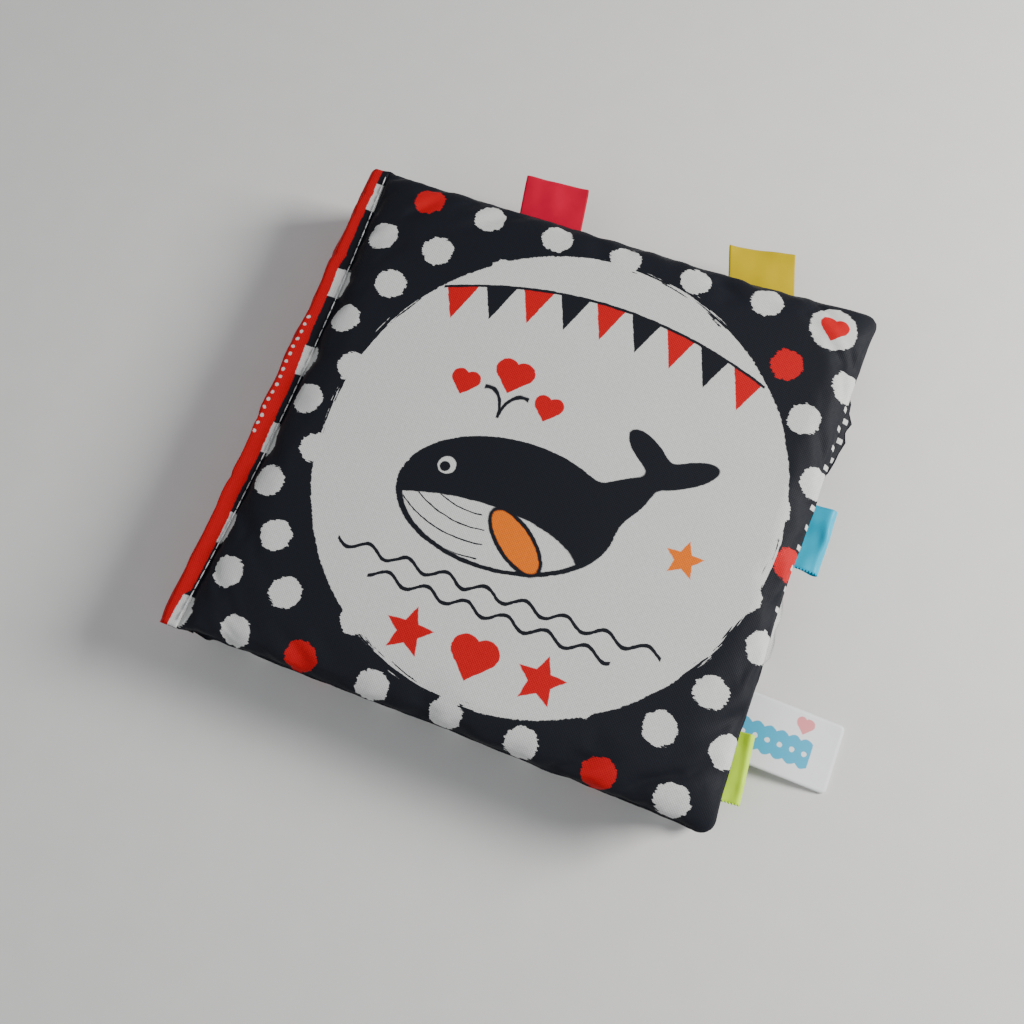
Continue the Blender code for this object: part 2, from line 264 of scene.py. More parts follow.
def torn_edges():
    """Shifts the print's outlines: a slow wander, and fine teeth along the brush's run."""
    s, given, end = effect("torn edges", ["Point", "Reach", "Grain"], ["Shifted"])
    moved = given["Point"]
    for stretch, share, detail in (((0.30, 0.36, 1.0), 0.55, 1.0), ((0.50, 1.50, 1.0), 0.62, 2.0)):
        grain = s.put("TexNoise", noise_dimensions="2D")
        s.feed(grain, Vector=s.move("MULTIPLY", given["Point"], stretch), Detail=detail)
        s.feed(grain, Scale=s.calc("DIVIDE", 1.0, given["Grain"]), Roughness=0.6)
        centred = s.move("SUBTRACT", grain.outputs["Color"], (0.5, 0.5, 0.5))
        wander = s.move("SCALE", centred, Scale=s.times(given["Reach"], share))
        moved = s.move("ADD", moved, wander)
    s.feed(end, Shifted=moved)
    return s.tree


def heart_shape():
    """A plain heart: a square on its corner and two half rounds, mirrored about the middle."""
    s, given, end = effect("heart", ["Point", "Across", "Down", "Size"], ["Mask"])
    across, down = s.sides(given["Point"])
    x = s.calc("ABSOLUTE", s.minus(across, given["Across"]))
    y = s.minus(down, given["Down"])
    half = s.times(given["Size"], 0.5)
    square = s.minus(s.plus(x, s.calc("ABSOLUTE", y)), given["Size"])
    dx = s.minus(x, half)
    dy = s.plus(y, half)
    lobe = s.ramp(given["Size"], -math.sqrt(0.5), s.far(dx, dy))
    s.feed(end, Mask=s.within(s.calc("MINIMUM", square, lobe), 0.0))
    return s.tree


def star_shape():
    """A plain five-pointed star, folded into one half point."""
    s, given, end = effect("star", ["Point", "Across", "Down", "Size"], ["Mask"])
    across, down = s.sides(given["Point"])
    x = s.minus(across, given["Across"])
    y = s.minus(given["Down"], down)
    angle = s.calc("ARCTAN2", x, y)
    fifth = math.tau / 5
    folded = s.calc("ABSOLUTE", s.calc("WRAP", angle, -fifth / 2, fifth / 2))
    inner = 0.46
    slant = math.atan2(inner * math.sin(fifth / 2), inner * math.cos(fifth / 2) - 1.0)
    off = slant - math.pi / 2
    side = s.times(s.far(x, y), s.calc("COSINE", s.minus(folded, off)))
    edge = s.times(given["Size"], math.cos(off))
    s.feed(end, Mask=s.within(s.minus(side, edge), 0.0))
    return s.tree


WOVEN = woven_cloth()
TORN = torn_edges()
HEART = heart_shape()
STAR = star_shape()

# Printing inks on the cotton, as linear red, green and blue
NIGHT_INK = (0.0084, 0.0097, 0.0150, 1.0)
BARE_CLOTH = (0.645, 0.648, 0.630, 1.0)
RED_INK = (0.540, 0.0045, 0.0080, 1.0)
ORANGE_INK = (0.800, 0.165, 0.006, 1.0)


def polka_dots():
    """Rows of spots, staggered and drawn by hand: those beside an edge keep clear of it."""
    s, given, end = effect("polka dots", ["Point"], ["White", "Red"])
    across, down = s.sides(given["Point"])
    pitch, row, radius, last = 21.4, 28.8, 4.6, 160.4
    edge_push, push_fall = 4.3, -4.3 / 24  # spots near an edge are pushed inwards by up to 4.3 mm
    spots = []
    for first_across, first_down, columns, rows, fan in ((16.0, 5.9, 6, 5, 1.2), (5.3, 20.3, 7, 4, 3.2)):
        column = s.calc("ROUND", s.calc("DIVIDE", s.minus(across, first_across), pitch))
        column = s.calc("MINIMUM", s.calc("MAXIMUM", column, 0.0), float(columns))
        centre_x = s.ramp(column, pitch, first_across)
        from_left = s.ramp(centre_x, push_fall, edge_push)
        from_right = s.ramp(s.minus(last, centre_x), push_fall, edge_push)
        centre_x = s.plus(centre_x, s.calc("MAXIMUM", from_left, 0.0))
        centre_x = s.minus(centre_x, s.calc("MAXIMUM", from_right, 0.0))
        line = s.calc("ROUND", s.calc("DIVIDE", s.minus(down, first_down), row))
        line = s.calc("MINIMUM", s.calc("MAXIMUM", line, 0.0), float(rows))
        centre_y = s.ramp(line, row, first_down)
        slow = s.times(centre_y, math.pi / PRINT_SIDE)
        swing = s.calc("SINE", s.times(slow, 2.0))
        swing = s.times(swing, s.ramp(centre_x, fan / PRINT_SIDE, 1.4))
        swing = s.ramp(s.calc("SINE", slow), 1.1, swing)
        centre_y = s.plus(centre_y, swing)
        away = s.far(s.minus(across, centre_x), s.minus(down, centre_y))
        spots.append(s.within(away, radius, 0.1))
    red = [
        s.within(s.reach(given["Point"], x, y), 8.0)
        for x, y in ((16, 6), (132.4, 22), (151, 78), (37.6, 150), (123.4, 150))
    ]
    s.feed(end, White=s.either(*spots), Red=s.either(*red))
    return s.tree


def brushed_disc():
    """A big white disc. Here and there its rim is streaked, as by a nearly dry brush."""
    s, given, end = effect("brushed disc", ["Point", "Across", "Down", "Radius"], ["Mask"])
    across, down = s.sides(given["Point"])
    x = s.minus(across, given["Across"])
    y = s.minus(down, given["Down"])
    away = s.far(x, y)
    angle = s.calc("ARCTAN2", y, x)
    round_it = s.times(angle, given["Radius"])
    four_stretches = s.calc("SINE", s.ramp(angle, 4.0, 0.6))
    dry = s.within(s.times(four_stretches, -1.0), -0.1, 0.5)
    streak_place = s.join(s.times(round_it, 0.10), s.times(away, 1.5))
    streaks = s.times(s.minus(s.fleck(streak_place, 1.0, 2.0), 0.42), dry)
    nibbles = s.fleck(given["Point"], 1.1, 3.0)
    wander = s.fleck(given["Point"], 14.0, 1.0)
    rough = s.ramp(streaks, 5.0, s.ramp(nibbles, 0.8, -0.4))
    rough = s.ramp(wander, 0.9, s.minus(rough, 0.45))
    s.feed(end, Mask=s.within(s.plus(away, rough), given["Radius"], 0.15))
    return s.tree


POLKA = polka_dots()
DISC = brushed_disc()


def weave_into(s, shader, point, ink):
    """Makes a shader matt woven cotton of this ink. point is in millimetres on the cloth."""
    height, shade = s.stamp(WOVEN, Point=point, Pitch=0.76)
    # The ink is darkened by the weave's painted shade between threads and by the slubs' random tone
    ink_with_painted_shade = s.put("Mix", data_type="RGBA", blend_type="MULTIPLY")
    s.feed(ink_with_painted_shade, Factor=1.0, A=ink, B=shade)
    relief = s.feed(s.put("Bump"), Strength=0.45, Distance=0.00012, Height=height)
    s.feed(
        shader,
        Base_Color=ink_with_painted_shade.outputs["Result"],
        Roughness=s.ramp(height, -0.14, 0.72),
        Specular_IOR_Level=0.16,
        Sheen_Weight=0.015,
        Sheen_Roughness=0.40,
        Normal=relief.outputs[0],
    )


def printed_cotton(name, draw):
    """Matt printed cotton. draw(stencil, point, torn point) gives the ink colour."""
    material, s, shader = new_material(name)
    point = s.move("SCALE", s.put("UVMap", uv_map="print").outputs[0], Scale=PRINT_SIDE)
    torn = s.stamp(TORN, Point=point, Reach=2.3, Grain=0.85)
    weave_into(s, shader, point, draw(s, point, torn))
    return material


def shifted_print(s, point, scale, across, down):
    """The print's own place on the cloth: a little smaller and moved, as cut from the roll."""
    return s.move("MULTIPLY_ADD", point, (scale, scale, 1.0), (across, down, 0.0))


def front_print(s, point, torn):
    """Dots on black round a white disc, with bunting, a whale and hearts of our own on the disc."""
    point, torn = (shifted_print(s, place, 1.0132, -1.71, -2.15) for place in (point, torn))
    white, red = s.stamp(POLKA, Point=torn)
    big_spot = s.within(s.reach(torn, 143.0, 8.2), 6.9)
    red = s.less(red, big_spot)
    ink = s.paint(NIGHT_INK, s.paint(BARE_CLOTH, RED_INK, red), s.either(white, big_spot))
    drawn = s.stamp(TORN, Point=point, Reach=0.55, Grain=1.2)
    ink = s.paint(ink, RED_INK, s.stamp(HEART, Point=drawn, Across=143.2, Down=8.9, Size=3.5))
    rounder = shifted_print(s, point, 1.0, -81.75, -77.5)
    rounder = s.move("MULTIPLY", rounder, (1.0226, 0.9784, 1.0))
    disc = s.stamp(DISC, Point=rounder, Across=0.0, Down=0.0, Radius=67.2)
    cut_spots = [
        s.oval(torn, x, y, wide, 4.8)
        for x, y, wide in (
            (1.6, 39.3, 1.9), (2.2, 66.5, 1.3), (2.1, 94.0, 1.2), (1.3, 122.5, 2.0), (-0.2, 149.6, 2.8)
        )
    ]
    ink = s.paint(ink, BARE_CLOTH, s.either(disc, *cut_spots))

    # Small white squares of the inside page's border, rolled out to the fore-edge by the turned seam
    edge_across, edge_down = s.sides(point)
    from_mid = s.minus(edge_down, 77.5)
    hollow = s.times(s.times(from_mid, from_mid), FORE_HOLLOW * 1000 / 77.5**2)
    from_edge = s.minus(edge_across, s.plus(hollow, 154.9 - FORE_HOLLOW * 1000))
    step = s.calc("WRAP", s.minus(edge_down, 29.4), -3.1, 3.1)
    squares = s.both(
        s.near(from_edge, -0.25, 0.75, 0.1),
        s.near(step, 0.0, 0.75, 0.1),
        s.near(edge_down, 60.5, 34.0),
    )
    ink = s.paint(ink, BARE_CLOTH, squares)
    across, down = s.sides(drawn)

    # Bunting in an arch under the disc's top
    from_middle = s.minus(across, 81.5)
    arch = s.ramp(s.times(from_middle, from_middle), 0.0042, 22.5)
    drop = s.minus(down, arch)
    span = s.near(from_middle, 0.0, 48.6)
    string = s.both(s.near(drop, 0.0, 0.45, 0.1), span)
    flag_pitch = 10.8
    place = s.calc("DIVIDE", from_middle, flag_pitch)
    flag = s.calc("ROUND", place)
    beside = s.times(s.calc("ABSOLUTE", s.minus(place, flag)), flag_pitch)
    slope = s.ramp(drop, 0.40, beside)
    pennant = s.both(s.within(slope, 4.5, 0.12), s.within(s.times(drop, -1.0), 0.2), span)
    odd = s.calc("PINGPONG", flag, 1.0)
    ink = s.paint(ink, s.paint(RED_INK, NIGHT_INK, odd), pennant)
    ink = s.paint(ink, NIGHT_INK, string)

    # The whale: its rounds are run together softly
    outline = None
    for spot in (
        (74.0, 90.0, 31.5, 19.5, -4.0),
        (100.5, 80.5, 14.0, 6.0, -46.0),
        (106.5, 62.0, 8.6, 3.6, 36.0),
        (118.5, 64.5, 8.8, 3.6, -30.0),
    ):
        off = s.times(s.minus(s.reach(drawn, *spot), 1.0), spot[3])
        outline = off if outline is None else s.calc("SMOOTH_MIN", outline, off, 5.0)
    body = s.within(outline, 0.0, 0.12)
    inner = s.within(outline, -1.25, 0.12)
    belly = s.both(inner, s.oval(drawn, 64.0, 107.5, 36.0, 15.5, -7.0))
    groove = s.calc("SINE", s.times(s.reach(drawn, 66.0, 70.0), 0.75))
    throat = s.within(s.reach(drawn, 55.0, 105.0), 17.5, 0.2)
    grooves = s.both(belly, s.near(groove, 0.0, 0.15, 0.05), throat)
    ink = s.paint(ink, NIGHT_INK, body)
    ink = s.paint(ink, BARE_CLOTH, belly)
    ink = s.paint(ink, NIGHT_INK, grooves)
    eye = s.less(s.oval(drawn, 54.5, 84.5, 2.6, 2.6), s.oval(drawn, 54.1, 85.0, 1.5, 1.5))
    ink = s.paint(ink, BARE_CLOTH, eye)
    ink = s.paint(ink, NIGHT_INK, s.oval(drawn, 80.5, 99.0, 11.6, 5.3, 38.0))
    ink = s.paint(ink, ORANGE_INK, s.oval(drawn, 80.5, 99.0, 10.4, 4.1, 38.0))

    # Its spout ends in hearts, and it swims over two brushed waves
    jets = []
    for middle, lean in ((57.3, 1.0), (67.7, -1.0)):
        ring = s.near(s.reach(drawn, middle, 66.5, 5.2, 8.5), 1.0, 0.085, 0.025)
        inner_half = s.within(s.times(s.minus(across, middle), -lean), 1.5)
        jets.append(s.both(ring, inner_half))
    rising = s.both(s.within(down, 66.5, 0.2), s.within(s.times(down, -1.0), -57.5, 0.3))
    ink = s.paint(ink, NIGHT_INK, s.both(s.either(*jets), rising))
    hearts = [
        s.stamp(HEART, Point=drawn, Across=x, Down=y, Size=size)
        for x, y, size in ((62.5, 53.5, 4.8), (49.8, 59.5, 3.6), (75.2, 59.5, 3.6), (81.5, 134.0, 5.6))
    ]
    stars = [s.stamp(STAR, Point=drawn, Across=x, Down=132.5, Size=7.2) for x in (62.5, 100.5)]
    ink = s.paint(ink, RED_INK, s.either(*hearts, *stars))
    ink = s.paint(ink, ORANGE_INK, s.stamp(STAR, Point=drawn, Across=125.0, Down=88.0, Size=5.6))
    waves = []
    for level, shift, left, right in ((115.0, 0.0, 34.0, 128.0), (120.6, 1.9, 46.0, 116.0)):
        swell = s.calc("SINE", s.ramp(across, math.tau / 11.5, shift))
        line = s.near(s.ramp(swell, 1.4, level), down, 0.58, 0.1)
        waves.append(s.both(line, s.near(across, (left + right) / 2, (right - left) / 2)))
    return s.paint(ink, NIGHT_INK, s.either(*waves))


def back_print(s, point, torn):
    """The back: the same dots round a smaller disc with one star."""
    white, red = s.stamp(POLKA, Point=torn)
    ink = s.paint(NIGHT_INK, s.paint(BARE_CLOTH, RED_INK, red), white)
    ink = s.paint(ink, BARE_CLOTH, s.stamp(DISC, Point=point, Across=77.5, Down=77.5, Radius=46.0))
    ink = s.paint(ink, NIGHT_INK, s.stamp(STAR, Point=torn, Across=77.5, Down=79.5, Size=31.0))
    return s.paint(ink, RED_INK, s.stamp(HEART, Point=torn, Across=77.5, Down=80.5, Size=7.5))


def framed(s, point, ground, figure, pattern, border=NIGHT_INK, squares=BARE_CLOTH):
    """A page print inside a plain border, with small squares along the fore-edge."""
    across, down = s.sides(point)
    dx = s.calc("ABSOLUTE", s.minus(across, PRINT_SIDE / 2))
    dy = s.calc("ABSOLUTE", s.minus(down, PRINT_SIDE / 2))
    inset = s.minus(PRINT_SIDE / 2, s.calc("MAXIMUM", dx, dy))
    square = s.both(
        s.near(s.calc("WRAP", down, -3.15, 3.15), 0.0, 0.8, 0.1),
        s.near(across, 152.0, 0.8, 0.1),
    )
    ink = s.paint(ground, figure, pattern)
    ink = s.paint(ink, border, s.within(inset, 6.0))
    return s.paint(ink, squares, square)


def page_print(kind):
    """One of the bold patterns of the inside pages."""

    def draw(s, point, torn):
        across, down = s.sides(torn)
        x = s.minus(across, PRINT_SIDE / 2)
        y = s.minus(down, PRINT_SIDE / 2)
        if kind == "rings":
            wave = s.calc("SINE", s.times(s.reach(torn, 77.5, 77.5), math.tau / 19.0))
            ink = framed(s, point, BARE_CLOTH, NIGHT_INK, s.within(wave, 0.0, 0.05))
            return s.paint(ink, RED_INK, s.stamp(HEART, Point=torn, Across=77.5, Down=78.5, Size=7.0))
        if kind == "checks":
            check = 17.8
            wave = s.both(*[s.calc("SINE", s.times(way, math.pi / check)) for way in (x, y)])
            ink = framed(s, point, BARE_CLOTH, NIGHT_INK, s.within(wave, 0.0, 0.02))
            return s.paint(ink, RED_INK, s.oval(torn, 77.5 - 1.5 * check, 77.5 + 1.5 * check, 6.0, 6.0))
        if kind == "zigzag":
            fold = s.calc("PINGPONG", x, 12.0)
            wave = s.calc("SINE", s.times(s.plus(y, fold), math.tau / 22.0))
            return framed(s, point, BARE_CLOTH, NIGHT_INK, s.within(wave, 0.0, 0.04))
        if kind == "stripes":
            lean = s.ramp(s.calc("SINE", s.times(y, math.tau / 48.0)), 5.0, x)
            wave = s.calc("SINE", s.times(lean, math.tau / 24.0))
            ink = framed(s, point, BARE_CLOTH, NIGHT_INK, s.within(wave, 0.0, 0.04))
            return s.paint(ink, ORANGE_INK, s.stamp(STAR, Point=torn, Across=77.5, Down=79.0, Size=17.0))
        if kind == "spots":
            half = 15.0
            away = s.far(*[s.calc("WRAP", s.plus(way, half), -half, half) for way in (x, y)])
            return framed(s, point, NIGHT_INK, BARE_CLOTH, s.within(away, 9.0))
        star = s.stamp(STAR, Point=torn, Across=77.5, Down=81.0, Size=58.0)
        ink = framed(s, point, BARE_CLOTH, NIGHT_INK, star, BARE_CLOTH, BARE_CLOTH)
        return s.paint(ink, RED_INK, s.stamp(STAR, Point=torn, Across=77.5, Down=79.5, Size=20.0))

    return draw


FRONT_COTTON = printed_cotton("front cover print", front_print)
BACK_COTTON = printed_cotton("back cover print", back_print)
PAGE_COTTON = {
    kind: printed_cotton(f"page print {kind}", page_print(kind))
    for kind in ("rings", "checks", "zigzag", "stripes", "spots", "star")
}


def new_mesh(name, points, faces, *stuffs):
    """A smooth mesh of its points and faces, with its materials."""
    mesh = bpy.data.meshes.new(name)
    mesh.from_pydata(points, [], faces)
    for stuff in stuffs:
        mesh.materials.append(stuff)
    mesh.shade_smooth()
    return mesh


def rounded(x, y, from_fore, from_end, corner):
    """The places x and y, drawn in to the round of the nearest corner."""
    a = np.clip(1 - from_fore / corner, 0, 1)
    b = np.clip(1 - from_end / corner, 0, 1)
    drawn_x = x - corner * a * (1 - np.sqrt(1 - b * b / 2))
    return drawn_x, y - np.sign(y) * corner * b * (1 - np.sqrt(1 - a * a / 2))


@dataclass
class PageCut:
    """The sizes of one padded page, in metres in the closed book's frame."""

    fold: float  # where its flap is held in the spine
    seam: float  # where its filling starts
    fore: float
    half: float  # half of its height
    roll: float  # how far from the edges it comes up to its full thickness
    corner: float
    hollow: float  # how far its free edges are drawn in
    bow: float  # how far its seam line bows
    middle: float  # how high its mid plane lies

    def lay(self, columns, rows):
        """The places of the page's grid, and its fullness from 0 at the seam to 1."""

        def lines(start, end, count):
            """Grid lines, set closer together towards both edges."""
            t = np.linspace(0.0, 1.0, count)
            return start + (end - start) * (t - 0.5 * np.sin(math.tau * t) / math.tau)

        flap = [self.fold + (self.seam - self.fold) * share for share in (0.0, 0.35, 0.7)]
        xs = np.concatenate([flap, lines(self.seam, self.fore, columns)])
        x, y = np.meshgrid(xs, lines(-self.half, self.half, rows), indexing="ij")
        full = 1.0
        for inside in (x - self.seam, self.fore - x, self.half - abs(y)):
            full = full * np.sqrt(1 - (1 - np.clip(inside / self.roll, 0.0, 1.0)) ** 2)
        px, py = rounded(x, y, self.fore - x, self.half - abs(y), self.corner)
        across = np.clip((px - self.seam) / (self.fore - self.seam), 0, 1)
        along = np.clip(1 - (py / self.half) ** 2, 0, None)
        on_flap = (px - self.fold) / (self.seam - self.fold)
        beyond = np.clip(1 - (px - self.seam) / self.roll, 0, None)
        near_seam = np.where(px < self.seam, on_flap, beyond)
        px = px - self.hollow * along * across**2 + self.bow * along * near_seam
        py = py * (1 - self.hollow / self.half * 4 * across * (1 - across))
        py = py * (1 - FLAP_TAPER * np.clip(1 - on_flap, 0, 1) * (self.bow > 0))
        return px, py, full


def crease(x, y, pitch, seed):
    """Smooth random height from -1 to 1 at each place of a grid."""
    heights = np.empty(x.shape)
    for index in np.ndindex(x.shape):
        heights[index] = noise.noise(Vector((x[index] / pitch, y[index] / pitch, seed)))
    return heights


EDGE_BAND = 0.010  # the gathers and the sway of the edges die out over this
GATHER_PITCH = 0.0072
HOLLOW_PITCH = 0.038  # of the soft hollows where the filling gives way
EDGE_SWAY = 0.0007
EDGE_LIFT = 0.0005
SCALLOP = 0.0056  # pitch of the small folds where a leaf's fore-edge stands out
SEAM_GROOVE = 0.00035  # how far the stitched seam sinks between the two cloths


def padded_page(
    name,
    cut,
    top,
    bottom,
    inks,
    seed,
    columns=76,
    rows=74,
    waviness=1.0,
    slack=0.00055,
    pucker=0.00042,
    rim=0.00062,
    bulges=(),
):
    """A closed, turned-out cloth pouch. top and bottom are its highest and lowest Z, and rim is half
    of its thickness at the seam. Its filling is slack by up to slack, and its seam puckers by pucker.
    At each bulge (middle, half length, reach) its fore-edge stands out in a scalloped fold."""
    x, y, full = cut.lay(columns, rows)
    from_fore = (cut.fore - x) / EDGE_BAND
    from_end = (cut.half - abs(y)) / EDGE_BAND
    from_seam = np.where(x > cut.seam, (x - cut.seam) / EDGE_BAND, 9.0)
    to_edge = np.minimum(np.minimum(from_fore, from_end), from_seam)
    gathers = np.exp(-((to_edge - 0.32) ** 2) / 0.14) * crease(x, y, GATHER_PITCH, seed)
    soft = crease(x, y, HOLLOW_PITCH, seed + 9.1)
    wobble = np.clip(1 - to_edge, 0, 1) * (x > cut.seam)
    px = x + crease(x, y, 0.021, seed + 3.3) * wobble * EDGE_SWAY * waviness
    py = y + crease(x, y, 0.019, seed + 5.7) * wobble * EDGE_SWAY * waviness
    lift = crease(x, y, 0.030, seed + 7.9) * wobble * EDGE_LIFT * waviness
    pushed = np.zeros(x.shape)
    for bulge_middle, half_length, reach in bulges:
        share = np.exp(-(((y - bulge_middle) / half_length) ** 4)) * np.exp(-(from_fore**2) / 1.2)
        pushed += share * (reach + 0.0006 * np.sin(math.tau * y / SCALLOP))
        lift += share * EDGE_LIFT * np.sin(math.tau * y / SCALLOP + 1.2)
    vertices = []
    for side, limit in ((1, top), (-1, bottom)):
        most = abs(limit - cut.middle)
        height = rim + (most - rim) * full
        height = height - slack * (0.55 + soft) * full + pucker * gathers * np.minimum(full * 2.2, 1.0)
        height = np.maximum(np.minimum(height, most), rim * 0.8)
        shape = np.stack([px + pushed, py, cut.middle + lift + side * height], axis=-1)
        vertices.append(shape.reshape(-1, 3))
    nx, ny = x.shape
    index = np.arange(nx * ny).reshape(nx, ny)
    ring = np.concatenate([index[:-1, 0], index[-1, :-1], index[:0:-1, -1], index[0, :0:-1]])
    offset = nx * ny
    upper, lower = vertices
    groove = (upper[ring] + lower[ring]) / 2
    centre = np.array([(cut.seam + cut.fore) / 2, 0.0, 0.0])
    inward = centre - groove
    inward[:, 2] = 0.0
    inward /= np.linalg.norm(inward, axis=1)[:, None]
    groove = groove + inward * SEAM_GROOVE
    points = np.concatenate([upper, lower, groove])
    faces, kinds = [], []
    corners = [index[:-1, :-1], index[1:, :-1], index[1:, 1:], index[:-1, 1:]]
    quads = np.stack(corners, axis=-1).reshape(-1, 4)
    faces += quads.tolist()
    kinds += [0] * len(quads)
    faces += (quads[:, ::-1] + offset).tolist()
    kinds += [1] * len(quads)
    count = len(ring)
    for step in range(count):
        after = (step + 1) % count
        mid, mid_after = 2 * offset + step, 2 * offset + after
        faces.append([int(ring[step]), mid, mid_after, int(ring[after])][::-1])
        kinds.append(0)
        faces.append([mid, int(ring[step]) + offset, int(ring[after]) + offset, mid_after][::-1])
        kinds.append(1)
    mesh = new_mesh(name, points.tolist(), faces, *inks)
    mesh.polygons.foreach_set("material_index", kinds)
    prints = mesh.uv_layers.new(name="print")
    flat = np.stack([px, py], -1).reshape(-1, 2)
    laid = np.concatenate([flat, flat, flat[ring]])
    around = np.empty(len(mesh.loops), dtype=np.int64)
    mesh.loops.foreach_get("vertex_index", around)
    across = (laid[around, 0] - PRINT_LEFT) / (COVER_FORE - PRINT_LEFT)
    down = (COVER_HALF - laid[around, 1]) / (2 * COVER_HALF)
    prints.data.foreach_set("uv", np.stack([across, down], -1).ravel())
    mesh.validate()
    page = stand(name, mesh)
    finer = page.modifiers.new("finer", "SUBSURF")
    finer.levels = finer.render_levels = 1
    return page


FILLING_HOLD = 0.1  # how firmly the filling holds the cloth where it isn't sewn
SEWN_WITHIN = 0.0009  # cloth nearer than this to the mid plane is part of the seam
SETTLING_FRAMES = 12


def fill_out(page, cut, top, bottom, ease, cap):
    """Lets the pouch settle as cloth over its filling: both cloths are cut larger by ease than the
    seam that joins them, so they gather along it. No point moves further than the cap."""
    grown = 10.0  # the solver is steadier on a larger model
    trial = stand("settling pouch", page.data.copy())
    trial.data.transform(Matrix.Scale(grown, 4))
    count = len(trial.data.vertices)
    start = np.empty(count * 3)
    trial.data.vertices.foreach_get("co", start)
    start = start.reshape(-1, 3) / grown
    bowed_seam = cut.seam + cut.bow * np.clip(1 - (start[:, 1] / cut.half) ** 2, 0, None)
    on_flap = start[:, 0] < bowed_seam + 0.0006
    on_seam = abs(start[:, 2] - cut.middle) < SEWN_WITHIN
    filled = trial.vertex_groups.new(name="filling")
    filled.add(np.flatnonzero(on_flap).tolist(), 1.0, "REPLACE")
    filled.add(np.flatnonzero(~on_flap).tolist(), FILLING_HOLD, "REPLACE")
    sewn = trial.vertex_groups.new(name="seam")
    sewn.add(np.flatnonzero(on_seam).tolist(), 1.0, "REPLACE")
    cloth = trial.modifiers.new("cloth", "CLOTH")
    settings = cloth.settings
    settings.quality = 5
    settings.effector_weights.gravity = 0
    settings.use_pressure = True
    settings.uniform_pressure_force = 4
    settings.vertex_group_mass = "filling"
    settings.pin_stiffness = 10
    settings.bending_stiffness = 0.2
    settings.vertex_group_shrink = "seam"
    settings.shrink_min, settings.shrink_max = -ease, 0.0
    cloth.point_cache.frame_start = 1
    cloth.point_cache.frame_end = SETTLING_FRAMES
    for moment in range(1, SETTLING_FRAMES + 1):
        bpy.context.scene.frame_set(moment)
    settled = trial.evaluated_get(bpy.context.evaluated_depsgraph_get()).data
    end = np.empty(count * 3)
    settled.vertices.foreach_get("co", end)
    end = end.reshape(-1, 3) / grown
    move = end - start
    length = np.maximum(np.linalg.norm(move, axis=1), 1e-9)
    move *= (cap * np.tanh(length / cap) / length)[:, None]
    end = start + move
    end[:, 2] = np.clip(end[:, 2], bottom, top)
    page.data.vertices.foreach_set("co", end.ravel())
    page.data.update()
    bpy.data.objects.remove(trial)
    bpy.context.scene.frame_set(1)


# The back cover is cut a little shorter, so that it stays hidden under the front one
for cover, middle, half, (bottom, top, swollen), inks, seed, slack in (
    ("front_cover", FRONT_MIDDLE, COVER_HALF, (0.0219, 0.0312, 0.0318),
     (FRONT_COTTON, PAGE_COTTON["checks"]), 1.0, 0.0009),
    ("back_cover", BACK_MIDDLE, COVER_HALF - 0.0007, (0.0, 0.0084, 0.0084),
     (PAGE_COTTON["stripes"], BACK_COTTON), 2.0, 0.0007),
):
    cut = PageCut(
        FOLD_X, COVER_SEAM, COVER_FORE, half, 0.019, 0.0050, FORE_HOLLOW, SEAM_BOW, middle
    )
    page = padded_page(
        cover, cut, top, bottom, inks, seed, waviness=0.5, slack=slack, pucker=0.00030
    )
    fill_out(page, cut, swollen, bottom, 0.03, 0.0016)
    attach(page, cover)
    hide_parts(f"{cover}_outer_cloth", f"{cover}_inner_cloth", f"{cover}_wadding")


# Leaves: four thinner padded pages of the same cotton, stitched to the lining inside the spine.
# Their fore-edges are cut a little short and stand out in waves between the covers.
LEAF_FOLD = -0.08185
LEAF_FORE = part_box("leaf_1_upper_cloth")[1].x
LEAF_HALF = 0.0755
LEAF_PRINTS = (("rings", "zigzag"), ("star", "stripes"), ("spots", "checks"), ("zigzag", "rings"))
LEAF_BULGES = {1: [(0.0405, 0.0125, 0.0036)], 2: [(-0.0200, 0.0110, 0.0032)]}
for number, prints in enumerate(LEAF_PRINTS, start=1):
    leaf = f"leaf_{number}"
    bottom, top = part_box(f"{leaf}_lower_cloth")[0].z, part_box(f"{leaf}_upper_cloth")[1].z
    cut = PageCut(
        LEAF_FOLD, COVER_SEAM, LEAF_FORE, LEAF_HALF, 0.009, 0.0040, 0.0008, 0.0, (bottom + top) / 2
    )
    page = padded_page(
        leaf,
        cut,
        top,
        bottom,
        [PAGE_COTTON[kind] for kind in prints],
        10.0 + number,
        columns=58,
        rows=56,
        waviness=1.6,
        rim=0.00045,
        bulges=LEAF_BULGES.get(number, ()),
    )
    fill_out(page, cut, top + 0.0002, bottom - 0.0001, 0.025, 0.0012)
    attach(page, leaf)
    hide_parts(f"{leaf}_upper_cloth", f"{leaf}_lower_cloth", f"{leaf}_wadding")


# Spine: one strip of red cotton with a border of white and black blocks down both long sides. It
# is caught in the covers' seam lines, wraps their folds and bulges out softly between them.
SPINE_MIDDLE = (FRONT_MIDDLE + BACK_MIDDLE) / 2
SPINE_RISE = FRONT_MIDDLE + 0.00098  # the strip lies on the flap's cloth
SPINE_OUT = 0.0034
SPINE_MOST_OUT = 0.0040  # further out, it would reach the table when the book lies open
SPINE_TAIL = -0.0776
SPINE_HEAD = 0.0769
SPINE_SHORTER = 0.020  # the share by which its back edge is shorter than its front edge


